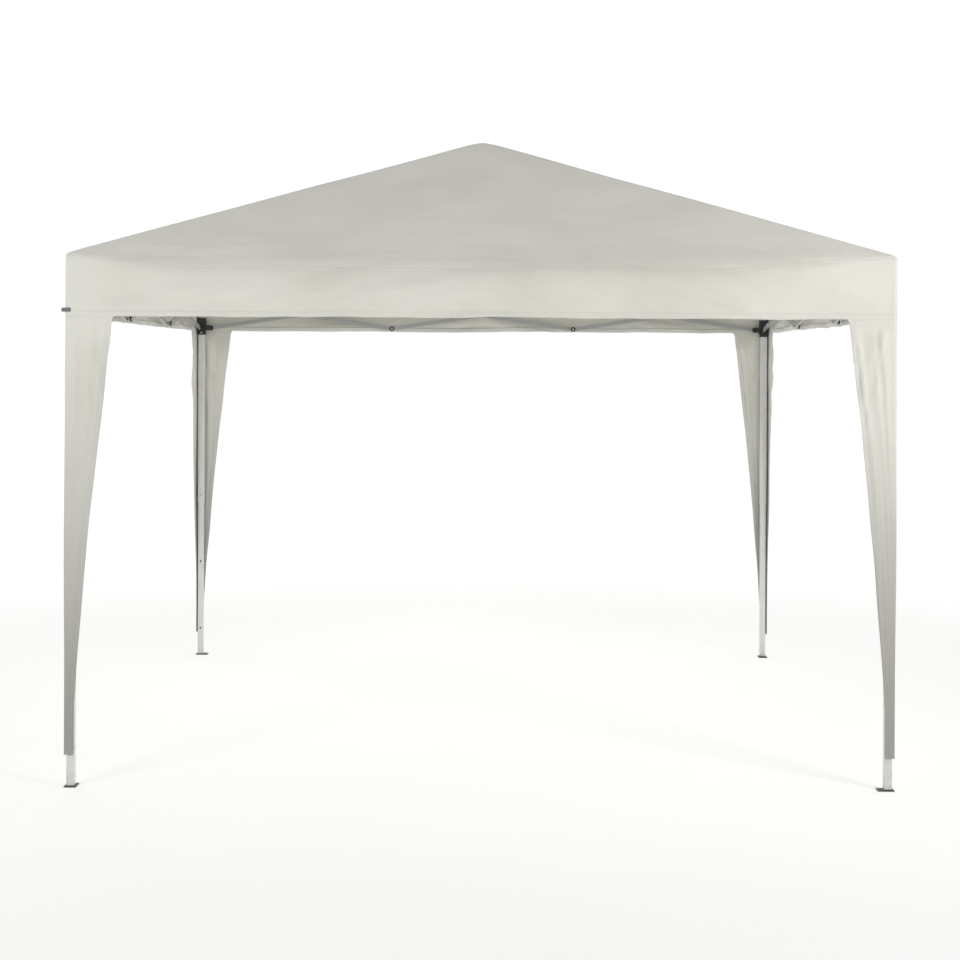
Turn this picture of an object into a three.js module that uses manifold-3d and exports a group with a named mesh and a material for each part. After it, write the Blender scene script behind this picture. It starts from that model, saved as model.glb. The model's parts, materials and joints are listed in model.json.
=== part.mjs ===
// A 3 m pop-up gazebo: four telescoping legs, a scissor truss of three crossings along each
// side, four folding roof arms that meet at a hub with a mast, and one fabric canopy with tapered
// leg drapes.
// Millimetres, +Z up, +Y to the back. The origin is on the ground under the hub.
import * as THREE from "three";
import { mergeVertices } from "three/addons/utils/BufferGeometryUtils.js";
import Module from "manifold-3d";

const wasm = await Module();
wasm.setup();

// ---- Driving dimensions ----

// Canopy
const CANOPY_HALF = 1500; // centre to the outer face of the fabric
const PEAK_Z = 2513;
const EAVE_Z = 1918;
const VALANCE_BOTTOM_Z = 1701;
const DRAPE_BOTTOM_Z = 140;
const DRAPE_TOP_WIDTH = 172;
const DRAPE_BOTTOM_WIDTH = 34;
const FABRIC = 2;

// Legs
const LEG_OFFSET = 1476; // centre to a leg's axis, along X and along Y
const UPPER_TUBE = 32;
const UPPER_WALL = 1.2;
const UPPER_BOTTOM_Z = 800;
const UPPER_TOP_Z = 1902;
const LOWER_TUBE = 28;
const LOWER_WALL = 1.4;
const LOWER_TOP_Z = 990;
const LEG_TRAVEL = 700; // how far a lower tube slides up into its upper tube
const FOOT_LONG = 60; // the foot plate, the corner and its peg hole towards the middle
const FOOT_SHORT = 44;
const FOOT_THICKNESS = 4;
const FOOT_OVERHANG = 8; // past the tube on its outer sides
const PEG_HOLE_R = 4.5;

// Scissor trusses
const CROSSINGS = 3;
const PIN_OFFSET = 48; // leg axis to the first pin of a truss
const UPPER_PIN_Z = 1860;
const LOWER_PIN_Z = 1716;
const FOLDED_ANGLE = THREE.MathUtils.degToRad(84); // a bar's slope once folded
const BAR_HEIGHT = 20;
const BAR_THICKNESS = 9;
const BAR_GAP = 3; // between the two bars of a crossing
const PIN_R = 3;
const PIN_HOLE_R = 3.8;
const HEAD_R = 6.5;
const HEAD_THICKNESS = 3;
const HEAD_GAP = 0.5;

// Roof arms: each is an outer and an inner bar, side by side, beside the centre line of its
// diagonal, so that the four arms lie round one another when they are folded.
const ARM_PIN_OFFSET = 62; // leg axis to the outer bar's pin, along the diagonal
const ARM_PIN_Z = 1896;
const HUB_PIN_Z = 2130;
const ARM_HEIGHT = 18;
const ARM_THICKNESS = 8;
const INNER_ARM_SIDE = 16.5; // middle of the inner bar, sideways from the diagonal
const OUTER_ARM_SIDE = 25.5;

// Corner brackets and sliders
const BRACKET_HALF = 19;
const BRACKET_BOTTOM_Z = 1840;
const BRACKET_TOP_Z = 1912;
const BRACKET_PLATE = 5;
const SLIDER_HALF = 20;
const SLIDER_BELOW_PIN = 36;
const SLIDER_ABOVE_PIN = 52;
const SLIDER_CLEARANCE = 0.6;
const CHEEK = 3; // wall of a fork
const CHEEK_CLEARANCE = 1;
const CHEEK_R = 13;

// Hub, mast and peak cap
const HUB_DISC_R = 48;
const HUB_DISC_THICKNESS = 5;
const HUB_BLOCK_HALF = 12;
const HUB_TOP_GAP = 10; // hub pin to the underside of the disc
const HUB_SOCKET_HEIGHT = 45;
const MAST_R = 12.5;
const MAST_WALL = 1.5;
const SOCKET_WALL = 3.5;
const SOCKET_CLEARANCE = 0.4;
const CAP_R = 60;
const CAP_BASE_Z = 2467;
const CAP_TOP_Z = 2505;
const CAP_SOCKET_DEPTH = 40;

// Buttons
const LOCK_R = 5;
const LOCK_BELOW_PIN = 25;
const LOCK_TIP = 17.5; // leg axis to the lock button's inner end
const LOCK_LENGTH = 10;
const SNAP_R = 4;
const SNAP_Z = 840;
const SNAP_TIP = 14.4;
const SNAP_LENGTH = 7;
const BUTTON_CLEARANCE = 0.6;

// ---- Worked out from the driving dimensions ----

const UNIT_SPAN = (2 * LEG_OFFSET - 2 * PIN_OFFSET) / CROSSINGS;
const TRUSS_DEPTH = UPPER_PIN_Z - LOWER_PIN_Z;
const BAR_LENGTH = Math.hypot(UNIT_SPAN, TRUSS_DEPTH);
const BAR_ANGLE = Math.atan2(TRUSS_DEPTH, UNIT_SPAN);

// The arms' reach is in a fixed ratio to a truss's span, so one angle folds them both exactly:
// the outer bar slopes at ARM_SLOPE - angle and the inner one at ARM_SLOPE + angle.
const REACH_PER_UNIT = CROSSINGS / Math.SQRT2;
const HUB_PIN_OFFSET = Math.SQRT2 * PIN_OFFSET - ARM_PIN_OFFSET;
const ARM_SLOPE = Math.atan2(HUB_PIN_Z - ARM_PIN_Z, REACH_PER_UNIT * UNIT_SPAN);
const ARM_LENGTH = (REACH_PER_UNIT * BAR_LENGTH) / (2 * Math.cos(ARM_SLOPE));

const FOLDED_DROP = BAR_LENGTH * Math.sin(FOLDED_ANGLE) - TRUSS_DEPTH;
const FORK_INSIDE = BAR_THICKNESS + BAR_GAP / 2 + CHEEK_CLEARANCE;
const RIGHT_ANGLE = Math.PI / 2;

// ---- Materials ----

const finish = (color, roughness, metalness) =>
  new THREE.MeshStandardMaterial({ color, roughness, metalness });
const whitePaint = () => finish(0xe9e9e6, 0.4, 0.3);
const blackPlastic = () => finish(0x17181a, 0.5, 0);
const zincPlate = () => finish(0xb9bcc0, 0.35, 0.9);
const canopyFabric = () => finish(0xc9c9bf, 0.85, 0);

// ---- Solids ----

function solidOf(geometry) {
  const bare = geometry.clone();
  bare.deleteAttribute("normal");
  bare.deleteAttribute("uv");
  const merged = mergeVertices(bare, 1e-4);
  return new wasm.Manifold(
    new wasm.Mesh({
      numProp: 3,
      vertProperties: merged.attributes.position.array,
      triVerts: new Uint32Array(merged.index.array),
    }),
  );
}

function geometryOf(solid) {
  const { vertProperties, triVerts } = solid.getMesh();
  return new THREE.BufferGeometry()
    .setAttribute("position", new THREE.BufferAttribute(new Float32Array(vertProperties), 3))
    .setIndex(new THREE.BufferAttribute(new Uint32Array(triVerts), 1));
}

const join = (...solids) => solids.reduce((whole, next) => whole.add(next));
const cut = (whole, ...tools) => tools.reduce((left, tool) => left.subtract(tool), whole);

function box(x0, x1, y0, y1, z0, z1) {
  const geometry = new THREE.BoxGeometry(x1 - x0, y1 - y0, z1 - z0);
  return solidOf(geometry.translate((x0 + x1) / 2, (y0 + y1) / 2, (z0 + z1) / 2));
}

// A rod along the axis named "x", "y" or "z", from one coordinate to the other.
function rod(axis, from, to, radius, centre, sides = 6) {
  const geometry = new THREE.CylinderGeometry(radius, radius, to - from, sides);
  geometry.translate(0, (from + to) / 2, 0);
  if (axis === "x") geometry.rotateZ(-RIGHT_ANGLE);
  if (axis === "z") geometry.rotateX(RIGHT_ANGLE);
  return solidOf(geometry.translate(...centre));
}

// A slab of an outline drawn in X and Y, between two heights of Z.
function slab(outline, z0, z1, curveSegments = 3) {
  const settings = { depth: z1 - z0, bevelEnabled: false, curveSegments };
  return solidOf(new THREE.ExtrudeGeometry(outline, settings).translate(0, 0, z0));
}

function squareTube(side, wall, z0, z1) {
  const outer = side / 2;
  const inner = outer - wall;
  return cut(
    box(-outer, outer, -outer, outer, z0, z1),
    box(-inner, inner, -inner, inner, z0 - 1, z1 + 1),
  );
}

// ---- Bars ----
// A bar lies along X from its first pin, with its height along Y and its thickness along Z.

function bar(length, height, z0, z1, holes) {
  const outline = new THREE.Shape();
  outline.absarc(0, 0, height / 2, RIGHT_ANGLE, 3 * RIGHT_ANGLE);
  outline.absarc(length, 0, height / 2, -RIGHT_ANGLE, RIGHT_ANGLE);
  for (const x of holes) {
    const hole = new THREE.Path();
    hole.absarc(x, 0, PIN_HOLE_R, 0, 2 * Math.PI);
    outline.holes.push(hole);
  }
  return slab(outline, z0, z1);
}

// A bolt through a bar and its neighbour: a head on the bar's own face, and a nut that stands
// clear of the neighbour's far face. near and far are those faces' Z.
function bolt(x, near, far) {
  const away = Math.sign(far - near);
  const nut = far + away * HEAD_GAP;
  const along = (a, b, radius) => rod("z", Math.min(a, b), Math.max(a, b), radius, [x, 0, 0]);
  return join(
    along(near - away * HEAD_THICKNESS, near + away, HEAD_R),
    along(near, nut + away, PIN_R),
    along(nut, nut + away * HEAD_THICKNESS, HEAD_R),
  );
}

const trussInner = -BAR_GAP / 2;
const trussOuter = BAR_GAP / 2;

// The bar that runs down along a truss carries the bolts; the legs' pins hold its outer ends.
function downBar(index) {
  const spots = [0, BAR_LENGTH / 2, BAR_LENGTH];
  const held = [index === 0, false, index === CROSSINGS - 1];
  const blank = bar(
    BAR_LENGTH,
    BAR_HEIGHT,
    trussInner - BAR_THICKNESS,
    trussInner,
    spots.filter((_, i) => held[i]),
  );
  const bolts = spots
    .filter((_, i) => !held[i])
    .map((x) => bolt(x, trussInner - BAR_THICKNESS, trussOuter + BAR_THICKNESS));
  return join(blank, ...bolts);
}

function upBar() {
  const spots = [0, BAR_LENGTH / 2, BAR_LENGTH];
  return bar(BAR_LENGTH, BAR_HEIGHT, trussOuter, trussOuter + BAR_THICKNESS, spots);
}

function outerArm() {
  const near = OUTER_ARM_SIDE + ARM_THICKNESS / 2;
  const blank = bar(ARM_LENGTH, ARM_HEIGHT, near - ARM_THICKNESS, near, [0]);
  return join(blank, bolt(ARM_LENGTH, near, INNER_ARM_SIDE - ARM_THICKNESS / 2));
}

function innerArm() {
  const low = INNER_ARM_SIDE - ARM_THICKNESS / 2;
  return bar(ARM_LENGTH, ARM_HEIGHT, low, low + ARM_THICKNESS, [0, ARM_LENGTH]);
}

// ---- Corner pieces ----
// A corner's own frame has its leg on the Z axis, with the two trusses leaving along +X and +Y.

// A fork along +X that holds a bar's end on a pin: two cheeks and the pin through them.
function fork(pinZ, from) {
  const cheek = new THREE.Shape();
  cheek.moveTo(from, pinZ + CHEEK_R);
  cheek.lineTo(from, pinZ - CHEEK_R);
  cheek.absarc(PIN_OFFSET, pinZ, CHEEK_R, -RIGHT_ANGLE, RIGHT_ANGLE);
  const outside = FORK_INSIDE + CHEEK;
  const cheeks = [-outside, FORK_INSIDE].map((y) =>
    slab(cheek, -y - CHEEK, -y).rotate([90, 0, 0]),
  );
  const end = outside + HEAD_THICKNESS - 1;
  return join(
    ...cheeks,
    rod("y", -end, end, PIN_R, [PIN_OFFSET, 0, pinZ]),
    rod("y", outside - 1, end, HEAD_R - 1, [PIN_OFFSET, 0, pinZ]),
    rod("y", -end, 1 - outside, HEAD_R - 1, [PIN_OFFSET, 0, pinZ]),
  );
}

// The fork for a roof arm, along the diagonal and beside it.
function armFork() {
  const inside = ARM_THICKNESS / 2 + BUTTON_CLEARANCE;
  const side = OUTER_ARM_SIDE;
  const end = ARM_PIN_OFFSET + 12;
  const top = BRACKET_TOP_Z - 1;
  const bottom = ARM_PIN_Z - CHEEK_R;
  const cheek = (from, low) => box(from, end, -low - CHEEK, -low, bottom, top);
  const pinEnds = [-side - inside - CHEEK - 1.5, 1.5 + CHEEK + inside - side];
  return join(
    cheek(51, side + inside),
    cheek(41, side - inside - CHEEK),
    rod("y", ...pinEnds, PIN_R, [ARM_PIN_OFFSET, 0, ARM_PIN_Z]),
  ).rotate([0, 0, 45]);
}

// The bracket's top plate, which ties the three forks together.
function bracketPlate() {
  const half = BRACKET_HALF;
  const outline = new THREE.Shape();
  outline.moveTo(-half, -half);
  outline.lineTo(half, -half);
  outline.lineTo(60, -15);
  outline.lineTo(60, 13);
  outline.lineTo(76, 29);
  outline.lineTo(65, 40);
  outline.lineTo(46, 21);
  outline.lineTo(22, 22);
  outline.lineTo(15, 60);
  outline.lineTo(-15, 60);
  outline.lineTo(-half, half);
  return slab(outline, BRACKET_TOP_Z - BRACKET_PLATE, BRACKET_TOP_Z);
}

// Webs that carry each truss fork's cheeks up to the top plate.
function forkWebs() {
  const outside = FORK_INSIDE + CHEEK;
  const web = (low) => box(BRACKET_HALF - 1, 56, low, low + CHEEK, UPPER_PIN_Z, BRACKET_TOP_Z - 1);
  return join(web(-outside), web(FORK_INSIDE));
}

function turned(solid) {
  return solid.rotate([0, 0, 90]);
}

function topBracket() {
  const half = BRACKET_HALF;
  const socket = UPPER_TUBE / 2 + 0.4;
  const block = cut(
    box(-half, half, -half, half, BRACKET_BOTTOM_Z, BRACKET_TOP_Z),
    box(-socket, socket, -socket, socket, BRACKET_BOTTOM_Z - 1, UPPER_TOP_Z + 0.4),
  );
  const truss = join(fork(UPPER_PIN_Z, half - 1), forkWebs());
  return join(block, bracketPlate(), truss, turned(truss), armFork());
}

function slider() {
  const half = SLIDER_HALF;
  const bore = UPPER_TUBE / 2 + SLIDER_CLEARANCE;
  const low = LOWER_PIN_Z - SLIDER_BELOW_PIN;
  const high = LOWER_PIN_Z + SLIDER_ABOVE_PIN;
  const truss = fork(LOWER_PIN_Z, half - 1);
  const sleeve = cut(
    box(-half, half, -half, half, low, high),
    box(-bore, bore, -bore, bore, low - 1, high + 1),
    rod("x", 0, half + 1, LOCK_R + BUTTON_CLEARANCE, [0, 0, LOWER_PIN_Z - LOCK_BELOW_PIN], 12),
  );
  return join(sleeve, truss, turned(truss));
}

function upperTube() {
  const reach = UPPER_TUBE / 2 + 1;
  const lockZ = LOWER_PIN_Z - LOCK_BELOW_PIN;
  const hole = (z, radius) => rod("x", 0, reach, radius + BUTTON_CLEARANCE, [0, 0, z], 12);
  return cut(
    squareTube(UPPER_TUBE, UPPER_WALL, UPPER_BOTTOM_Z, UPPER_TOP_Z),
    hole(lockZ, LOCK_R),
    hole(lockZ - FOLDED_DROP, LOCK_R),
    hole(SNAP_Z, SNAP_R),
  );
}

// A lower tube with its foot plate welded on: three snap holes for the height settings, and a
// hole in the plate for a ground peg.
function lowerTube() {
  const outer = -LOWER_TUBE / 2 - FOOT_OVERHANG;
  const side = FOOT_SHORT / 2;
  const inner = outer + FOOT_LONG;
  const reach = LOWER_TUBE / 2 + 1;
  const pegAt = (inner + LOWER_TUBE / 2) / 2;
  const settings = [0, LEG_TRAVEL / 2, LEG_TRAVEL];
  const tube = cut(
    squareTube(LOWER_TUBE, LOWER_WALL, FOOT_THICKNESS - 1, LOWER_TOP_Z),
    ...settings.map((down) =>
      rod("x", 0, reach, SNAP_R + BUTTON_CLEARANCE, [0, 0, SNAP_Z - down], 12),
    ),
  );
  const plate = cut(
    box(-side, side, outer, inner, 0, FOOT_THICKNESS),
    rod("z", -1, FOOT_THICKNESS + 1, PEG_HOLE_R, [0, pegAt, 0], 12),
  );
  return join(tube, plate);
}

// A push button with a domed face, along +X from its inner end.
function button(radius, tip, length, z) {
  const crown = radius * 0.35;
  const profile = [
    [0, 0],
    [radius, 0],
    [radius, length - crown],
    [radius * 0.8, length - crown * 0.3],
    [0, length],
  ];
  const points = profile.map(([r, y]) => new THREE.Vector2(r, y));
  const geometry = new THREE.LatheGeometry(points, 12);
  return solidOf(geometry.rotateZ(-RIGHT_ANGLE).translate(tip, 0, z));
}

// ---- Hub, mast and cap ----

function hub() {
  const under = HUB_PIN_Z + HUB_TOP_GAP;
  const block = HUB_BLOCK_HALF;
  const far = INNER_ARM_SIDE + ARM_THICKNESS / 2 + HEAD_GAP;
  const floor = under + HUB_DISC_THICKNESS;
  const disc = rod("z", under, floor, HUB_DISC_R, [0, 0, 0], 32);
  const core = box(-block, block, -block, block, HUB_PIN_Z - 14, under + 1);
  // One arm's pin and outer cheek, for the arm that comes in along +X from the left.
  const seat = join(
    box(-HUB_PIN_OFFSET - 10, 10 - HUB_PIN_OFFSET, -far - CHEEK, -far, HUB_PIN_Z - 10, under + 1),
    rod("y", -far - CHEEK - 2, 1 - block, PIN_R, [-HUB_PIN_OFFSET, 0, HUB_PIN_Z]),
  );
  const seats = [0, 1, 2, 3].map((quarter) => seat.rotate([0, 0, 45 + 90 * quarter]));
  const socket = cut(
    rod("z", floor - 1, floor + HUB_SOCKET_HEIGHT, MAST_R + SOCKET_WALL, [0, 0, 0], 24),
    rod("z", floor, floor + HUB_SOCKET_HEIGHT + 1, MAST_R + SOCKET_CLEARANCE, [0, 0, 0], 24),
  );
  return join(disc, core.rotate([0, 0, 45]), ...seats, socket);
}

// The mast stands in the hub's socket and carries the cap that pushes the canopy up.
function peakMast() {
  const low = HUB_PIN_Z + HUB_TOP_GAP + HUB_DISC_THICKNESS + SOCKET_CLEARANCE;
  const high = CAP_BASE_Z - SOCKET_CLEARANCE;
  return cut(
    rod("z", low, high, MAST_R, [0, 0, 0], 24),
    rod("z", low - 1, high + 1, MAST_R - MAST_WALL, [0, 0, 0], 24),
  );
}

function peakCap() {
  const rise = CAP_TOP_Z - CAP_BASE_Z;
  const dome = new THREE.Shape();
  dome.moveTo(0, CAP_BASE_Z);
  dome.lineTo(CAP_R, CAP_BASE_Z);
  dome.lineTo(CAP_R, CAP_BASE_Z + 5);
  dome.quadraticCurveTo(CAP_R * 0.55, CAP_BASE_Z + rise, 0, CAP_BASE_Z + rise);
  const points = dome.extractPoints(5).shape;
  if (points[0].distanceTo(points[points.length - 1]) < 1e-6) points.pop();
  const bottom = CAP_BASE_Z - CAP_SOCKET_DEPTH;
  const socket = cut(
    rod("z", bottom, CAP_BASE_Z + 1, MAST_R + SOCKET_WALL, [0, 0, 0], 24),
    rod("z", bottom - 1, CAP_BASE_Z, MAST_R + SOCKET_CLEARANCE, [0, 0, 0], 24),
  );
  return join(solidOf(new THREE.LatheGeometry(points, 32).rotateX(RIGHT_ANGLE)), socket);
}

// ---- Canopy ----
// A thin shell: a pyramid roof over a square skirt, cut away between the four leg drapes.

function tent(half, eaveZ, peakZ, bottomZ) {
  const roof = new THREE.ConeGeometry(half * Math.SQRT2, peakZ - eaveZ + 1, 4);
  roof.rotateX(RIGHT_ANGLE).rotateZ(Math.PI / 4);
  roof.translate(0, 0, (peakZ + eaveZ - 1) / 2);
  const skirt = box(-half, half, -half, half, bottomZ, eaveZ);
  const trim = box(-half, half, -half, half, eaveZ - 2, peakZ);
  return join(skirt, solidOf(roof).intersect(trim));
}

function doorway() {
  const top = CANOPY_HALF - DRAPE_TOP_WIDTH;
  const foot = CANOPY_HALF - DRAPE_BOTTOM_WIDTH;
  const outline = new THREE.Shape();
  outline.moveTo(-top, VALANCE_BOTTOM_Z);
  outline.lineTo(-foot, DRAPE_BOTTOM_Z - 1);
  outline.lineTo(foot, DRAPE_BOTTOM_Z - 1);
  outline.lineTo(top, VALANCE_BOTTOM_Z);
  const reach = CANOPY_HALF + 10;
  return slab(outline, -reach, reach).rotate([90, 0, 0]);
}

function canopy() {
  const outside = tent(CANOPY_HALF, EAVE_Z, PEAK_Z, DRAPE_BOTTOM_Z);
  const inside = tent(CANOPY_HALF - FABRIC, EAVE_Z - FABRIC, PEAK_Z - FABRIC, DRAPE_BOTTOM_Z - 10);
  return cut(outside, inside, doorway(), turned(doorway()));
}

// ---- Assembly ----

const gazebo = new THREE.Group();

function piece(parent, name, solid, material) {
  const mesh = new THREE.Mesh(geometryOf(solid), material);
  mesh.name = name;
  parent.add(mesh);
  return mesh;
}

// A frame at a leg: X leaves the leg in the direction given by the turn, Y is up, Z is sideways.
function uprightFrame(x, y, turn) {
  const stand = new THREE.Group();
  stand.position.set(x, y, 0);
  stand.rotation.z = turn;
  const upright = new THREE.Group();
  upright.rotation.x = RIGHT_ANGLE;
  stand.add(upright);
  gazebo.add(stand);
  return upright;
}

const corners = [
  { name: "front_left", x: -1, y: -1 },
  { name: "front_right", x: 1, y: -1 },
  { name: "back_right", x: 1, y: 1 },
  { name: "back_left", x: -1, y: 1 },
];

corners.forEach(({ name, x, y }, quarter) => {
  const corner = new THREE.Group();
  corner.position.set(x * LEG_OFFSET, y * LEG_OFFSET, 0);
  corner.rotation.z = quarter * RIGHT_ANGLE;
  gazebo.add(corner);
  piece(corner, `upper_leg_${name}`, upperTube(), whitePaint());
  piece(corner, `lower_leg_${name}`, lowerTube(), whitePaint());
  piece(corner, `top_bracket_${name}`, topBracket(), blackPlastic());
  piece(corner, `slider_${name}`, slider(), blackPlastic());
  const lock = button(LOCK_R, LOCK_TIP, LOCK_LENGTH, LOWER_PIN_Z - LOCK_BELOW_PIN);
  piece(corner, `slider_button_${name}`, lock, zincPlate());
  const snap = button(SNAP_R, SNAP_TIP, SNAP_LENGTH, SNAP_Z);
  piece(corner, `leg_snap_button_${name}`, snap, zincPlate());

  const diagonal = uprightFrame(
    x * LEG_OFFSET,
    y * LEG_OFFSET,
    quarter * RIGHT_ANGLE + Math.PI / 4,
  );
  const outer = piece(diagonal, `roof_arm_outer_${name}`, outerArm(), whitePaint());
  outer.position.set(ARM_PIN_OFFSET, ARM_PIN_Z, 0);
  outer.rotation.z = ARM_SLOPE - BAR_ANGLE;
  const inner = piece(diagonal, `roof_arm_inner_${name}`, innerArm(), whitePaint());
  inner.position.set(
    ARM_PIN_OFFSET + ARM_LENGTH * Math.cos(ARM_SLOPE - BAR_ANGLE),
    ARM_PIN_Z + ARM_LENGTH * Math.sin(ARM_SLOPE - BAR_ANGLE),
    0,
  );
  inner.rotation.z = ARM_SLOPE + BAR_ANGLE;
});

const sides = [
  { name: "front", x: -1, y: -1, turn: 0 },
  { name: "right", x: 1, y: -1, turn: RIGHT_ANGLE },
  { name: "left", x: -1, y: -1, turn: RIGHT_ANGLE },
  { name: "back", x: -1, y: 1, turn: 0 },
];

for (const { name, x, y, turn } of sides) {
  const frame = uprightFrame(x * LEG_OFFSET, y * LEG_OFFSET, turn);
  for (let index = 0; index < CROSSINGS; index++) {
    const along = PIN_OFFSET + index * UNIT_SPAN;
    const down = piece(frame, `truss_${name}_${index + 1}_down`, downBar(index), whitePaint());
    down.position.set(along, UPPER_PIN_Z, 0);
    down.rotation.z = -BAR_ANGLE;
    const up = piece(frame, `truss_${name}_${index + 1}_up`, upBar(), whitePaint());
    up.position.set(along, LOWER_PIN_Z, 0);
    up.rotation.z = BAR_ANGLE;
  }
}

piece(gazebo, "roof_hub", hub(), blackPlastic());
piece(gazebo, "peak_mast", peakMast(), whitePaint());
piece(gazebo, "peak_cap", peakCap(), blackPlastic());
piece(gazebo, "canopy", canopy(), canopyFabric());

export default gazebo;
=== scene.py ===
"""Pop up gazebo: the looks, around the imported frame. Metres, +Z up, +Y towards the back."""

import json
import math

import bpy
import numpy as np
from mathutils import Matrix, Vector, noise


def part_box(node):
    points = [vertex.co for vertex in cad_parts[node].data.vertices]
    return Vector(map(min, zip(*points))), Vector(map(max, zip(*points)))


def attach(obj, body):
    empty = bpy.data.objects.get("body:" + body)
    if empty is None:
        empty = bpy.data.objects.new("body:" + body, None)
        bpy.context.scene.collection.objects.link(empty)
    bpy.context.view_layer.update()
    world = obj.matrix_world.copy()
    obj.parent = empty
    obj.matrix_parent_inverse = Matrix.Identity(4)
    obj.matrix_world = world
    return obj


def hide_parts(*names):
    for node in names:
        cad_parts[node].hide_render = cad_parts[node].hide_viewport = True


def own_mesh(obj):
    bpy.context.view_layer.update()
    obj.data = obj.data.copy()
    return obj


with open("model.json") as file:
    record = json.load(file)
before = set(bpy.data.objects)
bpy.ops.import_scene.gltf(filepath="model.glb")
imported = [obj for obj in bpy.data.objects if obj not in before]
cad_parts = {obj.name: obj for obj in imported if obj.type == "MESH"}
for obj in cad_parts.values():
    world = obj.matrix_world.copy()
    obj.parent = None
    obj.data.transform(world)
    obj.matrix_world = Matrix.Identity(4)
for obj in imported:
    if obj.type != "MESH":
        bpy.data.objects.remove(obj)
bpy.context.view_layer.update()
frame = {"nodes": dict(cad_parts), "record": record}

# ---------------------------------------------------------------- sizes
HALF = 1.5  # the canopy's half width
LEG = 1.476  # a leg's middle
PEAK_Z = 2.513
RIDGE_START, RIDGE_FALL, PEAK_SOFT = 2.521, 0.594, 0.0140  # the hips' height, their fall, the peak's rounding
EAVE_Z, EAVE_DROP, EAVE_BULGE = 1.927, 0.041, 0.022  # at a corner, then how a side's middle differs
EDGE_SOFT_CORNER, EDGE_SOFT_MIDDLE = 0.012, 0.085  # how far the turn over the eave reaches down
CORNER_R = 0.011
VALANCE_Z = 1.701  # the valance's lower edge
DRAPE_TOP, DRAPE_END, DRAPE_Z = 0.173, 0.033, 0.118  # a drape's widths, and its lower end
DRAPE_FLARE, FLARE_HEIGHT = 0.007, 0.016  # it widens where it meets the valance
DRAPE_NARROW_Z = 0.25  # below this the drape is only as wide as the leg
HUG = 0.003  # how far the drape's lower part comes in to the leg
HEM = 0.020  # the valance's
SIDE_HEM, END_HEM = 0.016, 0.014  # a drape's, down its free edges and at its end

SIDES = {
    "front": ((1, 0), (0, -1)),
    "right": ((0, 1), (1, 0)),
    "back": ((-1, 0), (0, 1)),
    "left": ((0, -1), (-1, 0)),
}
CORNERS = ["front_right", "back_right", "back_left", "front_left"]  # at each side's end


def step(x):
    """A smooth 0 to 1."""
    x = min(1.0, max(0.0, x))
    return x * x * (3 - 2 * x)


# ---------------------------------------------------------------- materials
THREAD, STITCH, RIB = 0.0011, 0.006, 0.0016  # from one to the next, in metres


class Shader:
    """A node material with a Principled surface, and short calls for its nodes."""

    def __init__(self, name, **constants):
        self.material = bpy.data.materials.new(name)
        self.material.use_nodes = True
        self.tree = self.material.node_tree
        self.surface = self.tree.nodes["Principled BSDF"]
        for socket, value in constants.items():
            self.surface.inputs[socket.replace("_", " ")].default_value = value

    def node(self, kind, inputs=None, **settings):
        n = self.tree.nodes.new(kind)
        for key, value in settings.items():
            setattr(n, key, value)
        for key, value in (inputs or {}).items():
            self.feed(n.inputs[key], value)
        return n

    def feed(self, socket, value):
        if isinstance(value, bpy.types.NodeSocket):
            self.tree.links.new(value, socket)
        else:
            socket.default_value = value

    def math(self, operation, *values, clamp=False):
        n = self.node("ShaderNodeMath", operation=operation, use_clamp=clamp)
        for socket, value in zip(n.inputs, values):
            self.feed(socket, value)
        return n.outputs[0]

    def place(self, scale, turn=(0, 0, 0)):
        """The object's own coordinates in metres, stretched."""
        coordinates = self.node("ShaderNodeTexCoord").outputs["Object"]
        inputs = {"Vector": coordinates, "Scale": scale, "Rotation": turn}
        return self.node("ShaderNodeMapping", inputs).outputs[0]

    def noise(self, vector, scale, detail=3.0, roughness=0.5):
        return self.node(
            "ShaderNodeTexNoise",
            {"Vector": vector, "Scale": scale, "Detail": detail, "Roughness": roughness},
        ).outputs["Fac"]

    def ramp(self, value, low, high, start=0.0, end=1.0):
        return self.node(
            "ShaderNodeMapRange",
            {"Value": value, "From Min": low, "From Max": high, "To Min": start, "To Max": end},
            interpolation_type="SMOOTHSTEP",
        ).outputs[0]

    def mix(self, factor, a, b):
        n = self.node("ShaderNodeMix", data_type="RGBA")
        for socket, value in ((n.inputs[0], factor), (n.inputs[6], a), (n.inputs[7], b)):
            self.feed(socket, value)
        return n.outputs[2]

    def bump(self, height, distance, strength=1.0, under=None):
        n = self.node("ShaderNodeBump", {"Height": height, "Distance": distance, "Strength": strength})
        if under is not None:
            self.feed(n.inputs["Normal"], under)
        return n.outputs[0]

    def finish(self, **outputs):
        for socket, value in outputs.items():
            self.feed(self.surface.inputs[socket.replace("_", " ")], value)
        return self.material


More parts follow.
